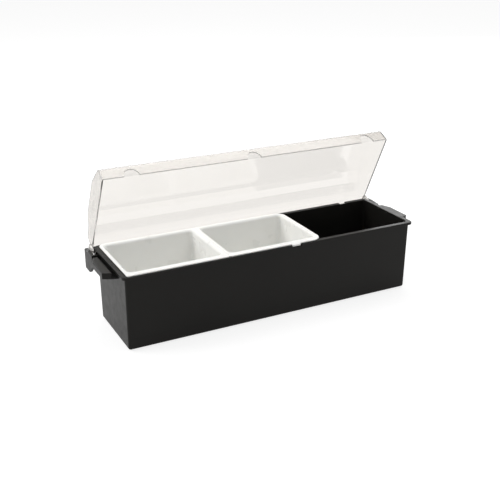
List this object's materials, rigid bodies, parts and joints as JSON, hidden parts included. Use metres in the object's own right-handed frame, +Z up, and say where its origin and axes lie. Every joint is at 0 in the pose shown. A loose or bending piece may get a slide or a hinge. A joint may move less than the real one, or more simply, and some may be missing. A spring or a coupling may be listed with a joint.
{
  "type": "condiment caddy",
  "caption": "Long black condiment caddy with white drop-in inserts, an open bay, grip ledges at the ends and a clear domed lid that flips up on a back hinge.",
  "frame": {"origin": "on the table, at the bottom centre of the bounding box, with the lid open as stored", "axes": "+X along the tub towards the right end, -Y out of the front wall (away from the hinge), +Z up"},
  "size_m": [0.524, 0.1624, 0.2449],
  "materials": {
    "tub_plastic": "black moulded ABS, fine satin grain",
    "clear_plastic": "clear moulded polycarbonate, polished",
    "insert_plastic": "white moulded polypropylene, soft gloss",
    "pin_steel": "plain stainless steel",
    "foot_rubber": "matt black rubber"
  },
  "bodies": {
    "base": {"tub": "tub_plastic", "hinge_pin_left": "pin_steel", "hinge_pin_right": "pin_steel", "foot_front_left": "foot_rubber", "foot_front_right": "foot_rubber", "foot_back_left": "foot_rubber", "foot_back_right": "foot_rubber"},
    "lid": {"lid": "clear_plastic"},
    "left_insert": {"insert_left": "insert_plastic"},
    "middle_insert": {"insert_middle": "insert_plastic"}
  },
  "joints": [
    {"name": "lid_hinge", "type": "hinge", "parent": "base", "child": "lid", "pos_m": [0, 0.053, 0.1111], "axis": [-1, 0, 0], "range_deg": [-63.4, 36.6]},
    {"name": "left_insert_lift", "type": "slide", "parent": "base", "child": "left_insert", "axis": [0, 0, 1], "range_m": [0, 0.017]},
    {"name": "middle_insert_lift", "type": "slide", "parent": "base", "child": "middle_insert", "axis": [0, 0, 1], "range_m": [0, 0.017]}
  ]
}
